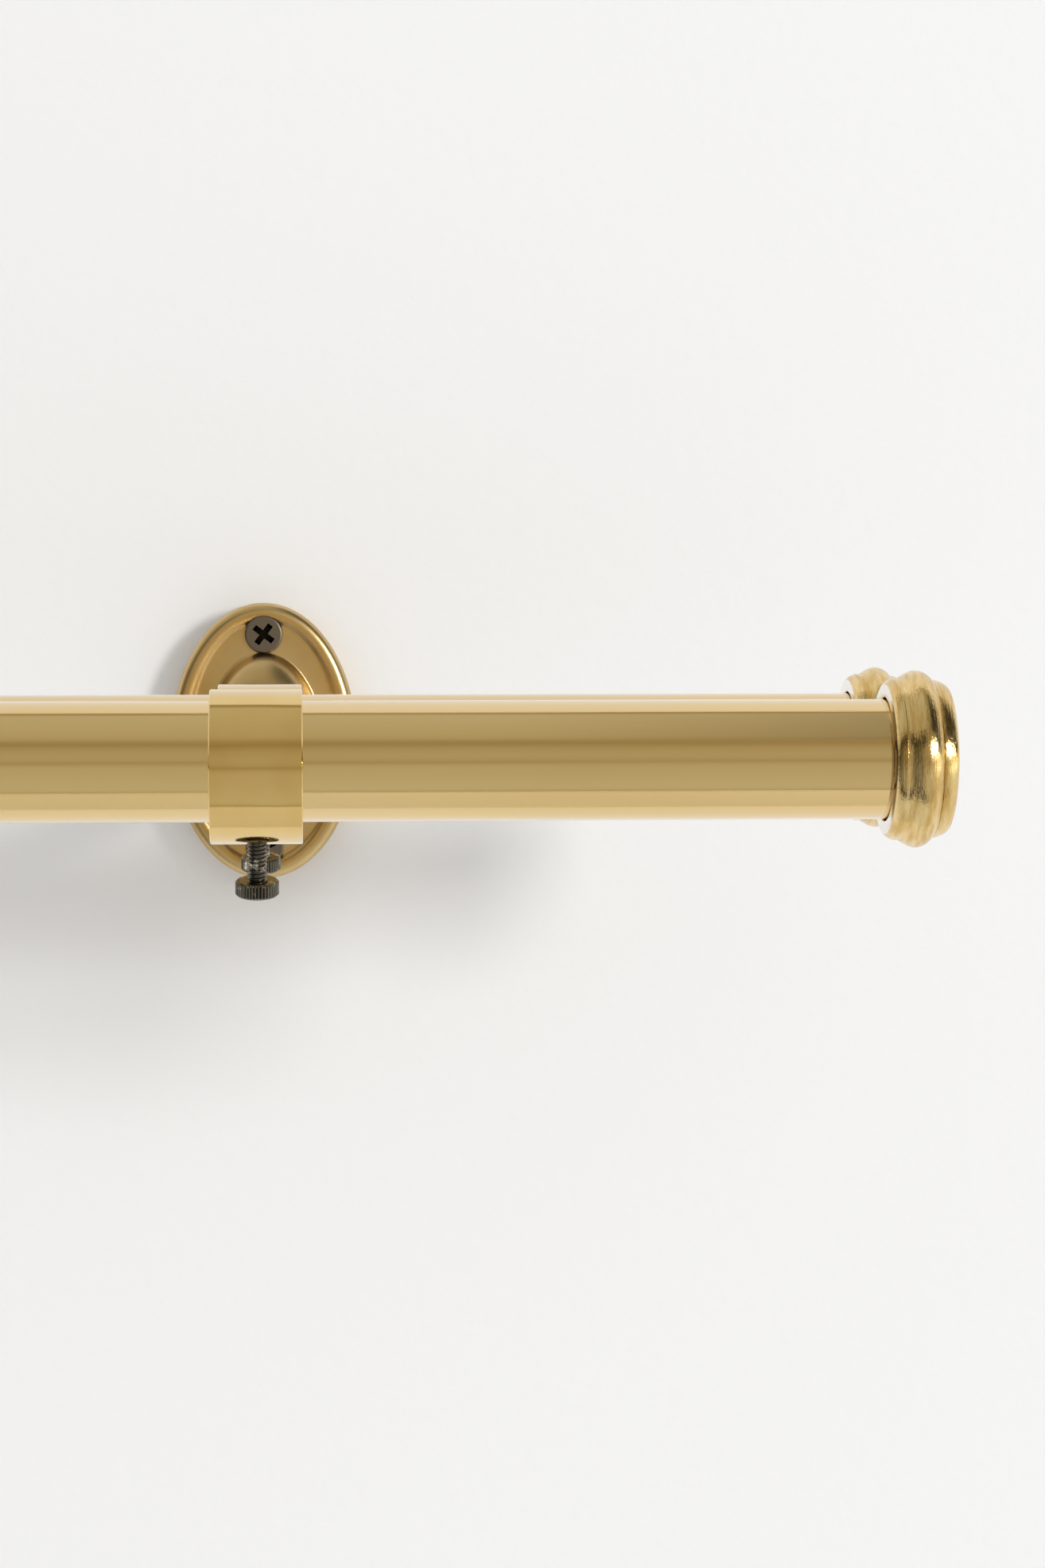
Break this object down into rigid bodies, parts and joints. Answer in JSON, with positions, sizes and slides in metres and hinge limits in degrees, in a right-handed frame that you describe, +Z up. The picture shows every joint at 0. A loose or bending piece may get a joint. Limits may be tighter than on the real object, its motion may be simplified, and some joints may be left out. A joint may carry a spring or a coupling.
{
  "type": "double curtain rod",
  "caption": "Telescoping double curtain rod: tubes held one in front of the other in ring brackets on oval wall plates, with thumbscrews and turned end caps.",
  "frame": {"origin": "centre of the four wall screws, on the wall plane midway between the brackets at arm height", "axes": "+X along the rods towards the fixed tube's end cap, +Y into the wall, +Z up"},
  "size_m": [0.744, 0.2431, 0.0724],
  "materials": {
    "tube_brass": "satin polished brass plate on drawn tube",
    "inner_tube_brass": "satin polished brass plate on drawn tube",
    "ring_brass": "polished brass plate",
    "arm_brass": "polished brass plate",
    "plate_brass": "warm polished brass, pressed sheet",
    "finial_brass": "turned and lightly brushed brass",
    "dark_screw": "dark oxide, satin",
    "dark_thumbscrew": "gunmetal, semi-bright",
    "zinc_steel": "bright zinc",
    "nylon": "natural nylon"
  },
  "bodies": {
    "brackets": {"left_wall_plate": "plate_brass", "left_rear_post": "arm_brass", "left_rear_ring": "ring_brass", "left_front_post": "arm_brass", "left_front_ring": "ring_brass", "left_arm_screw": "zinc_steel", "left_upper_wall_screw": "dark_screw", "left_lower_wall_screw": "dark_screw", "right_wall_plate": "plate_brass", "right_rear_post": "arm_brass", "right_rear_ring": "ring_brass", "right_front_post": "arm_brass", "right_front_ring": "ring_brass", "right_arm_screw": "zinc_steel", "right_upper_wall_screw": "dark_screw", "right_lower_wall_screw": "dark_screw"},
    "rear_outer_rod": {"rear_outer_tube": "tube_brass", "rear_mouth_bush": "nylon", "rear_right_end_plug": "nylon"},
    "rear_inner_rod": {"rear_inner_tube": "inner_tube_brass", "rear_glide_ring": "nylon", "rear_left_end_plug": "nylon"},
    "rear_left_finial": {"rear_left_finial": "finial_brass", "rear_left_finial_stud": "zinc_steel"},
    "rear_right_finial": {"rear_right_finial": "finial_brass", "rear_right_finial_stud": "zinc_steel"},
    "front_outer_rod": {"front_outer_tube": "tube_brass", "front_mouth_bush": "nylon", "front_right_end_plug": "nylon"},
    "front_inner_rod": {"front_inner_tube": "inner_tube_brass", "front_glide_ring": "nylon", "front_left_end_plug": "nylon"},
    "front_left_finial": {"front_left_finial": "finial_brass", "front_left_finial_stud": "zinc_steel"},
    "front_right_finial": {"front_right_finial": "finial_brass", "front_right_finial_stud": "zinc_steel"},
    "left_rear_thumbscrew": {"left_rear_thumbscrew": "dark_thumbscrew"},
    "left_front_thumbscrew": {"left_front_thumbscrew": "dark_thumbscrew"},
    "right_rear_thumbscrew": {"right_rear_thumbscrew": "dark_thumbscrew"},
    "right_front_thumbscrew": {"right_front_thumbscrew": "dark_thumbscrew"}
  },
  "joints": [
    {"name": "rear_rod_slide", "type": "slide", "parent": "brackets", "child": "rear_outer_rod", "axis": [1, 0, 0], "range_m": [-0.12, 0.11]},
    {"name": "rear_rod_extend", "type": "slide", "parent": "rear_outer_rod", "child": "rear_inner_rod", "axis": [-1, 0, 0], "range_m": [0, 0.508]},
    {"name": "rear_left_finial_unscrew", "type": "slide", "parent": "rear_inner_rod", "child": "rear_left_finial", "axis": [-1, 0, 0], "range_m": [0, 0.021]},
    {"name": "rear_right_finial_unscrew", "type": "slide", "parent": "rear_outer_rod", "child": "rear_right_finial", "axis": [1, 0, 0], "range_m": [0, 0.021]},
    {"name": "front_rod_slide", "type": "slide", "parent": "brackets", "child": "front_outer_rod", "axis": [1, 0, 0], "range_m": [-0.115, 0.115]},
    {"name": "front_rod_extend", "type": "slide", "parent": "front_outer_rod", "child": "front_inner_rod", "axis": [-1, 0, 0], "range_m": [0, 0.508]},
    {"name": "front_left_finial_unscrew", "type": "slide", "parent": "front_inner_rod", "child": "front_left_finial", "axis": [-1, 0, 0], "range_m": [0, 0.021]},
    {"name": "front_right_finial_unscrew", "type": "slide", "parent": "front_outer_rod", "child": "front_right_finial", "axis": [1, 0, 0], "range_m": [0, 0.021]},
    {"name": "left_rear_thumbscrew_unscrew", "type": "slide", "parent": "brackets", "child": "left_rear_thumbscrew", "axis": [0, 0.2164, -0.9763], "range_m": [0, 0.0038]},
    {"name": "left_front_thumbscrew_unscrew", "type": "slide", "parent": "brackets", "child": "left_front_thumbscrew", "axis": [0, 0.2164, -0.9763], "range_m": [0, 0.0038]},
    {"name": "right_rear_thumbscrew_unscrew", "type": "slide", "parent": "brackets", "child": "right_rear_thumbscrew", "axis": [0, 0.2164, -0.9763], "range_m": [0, 0.0038]},
    {"name": "right_front_thumbscrew_unscrew", "type": "slide", "parent": "brackets", "child": "right_front_thumbscrew", "axis": [0, 0.2164, -0.9763], "range_m": [0, 0.0038]}
  ]
}
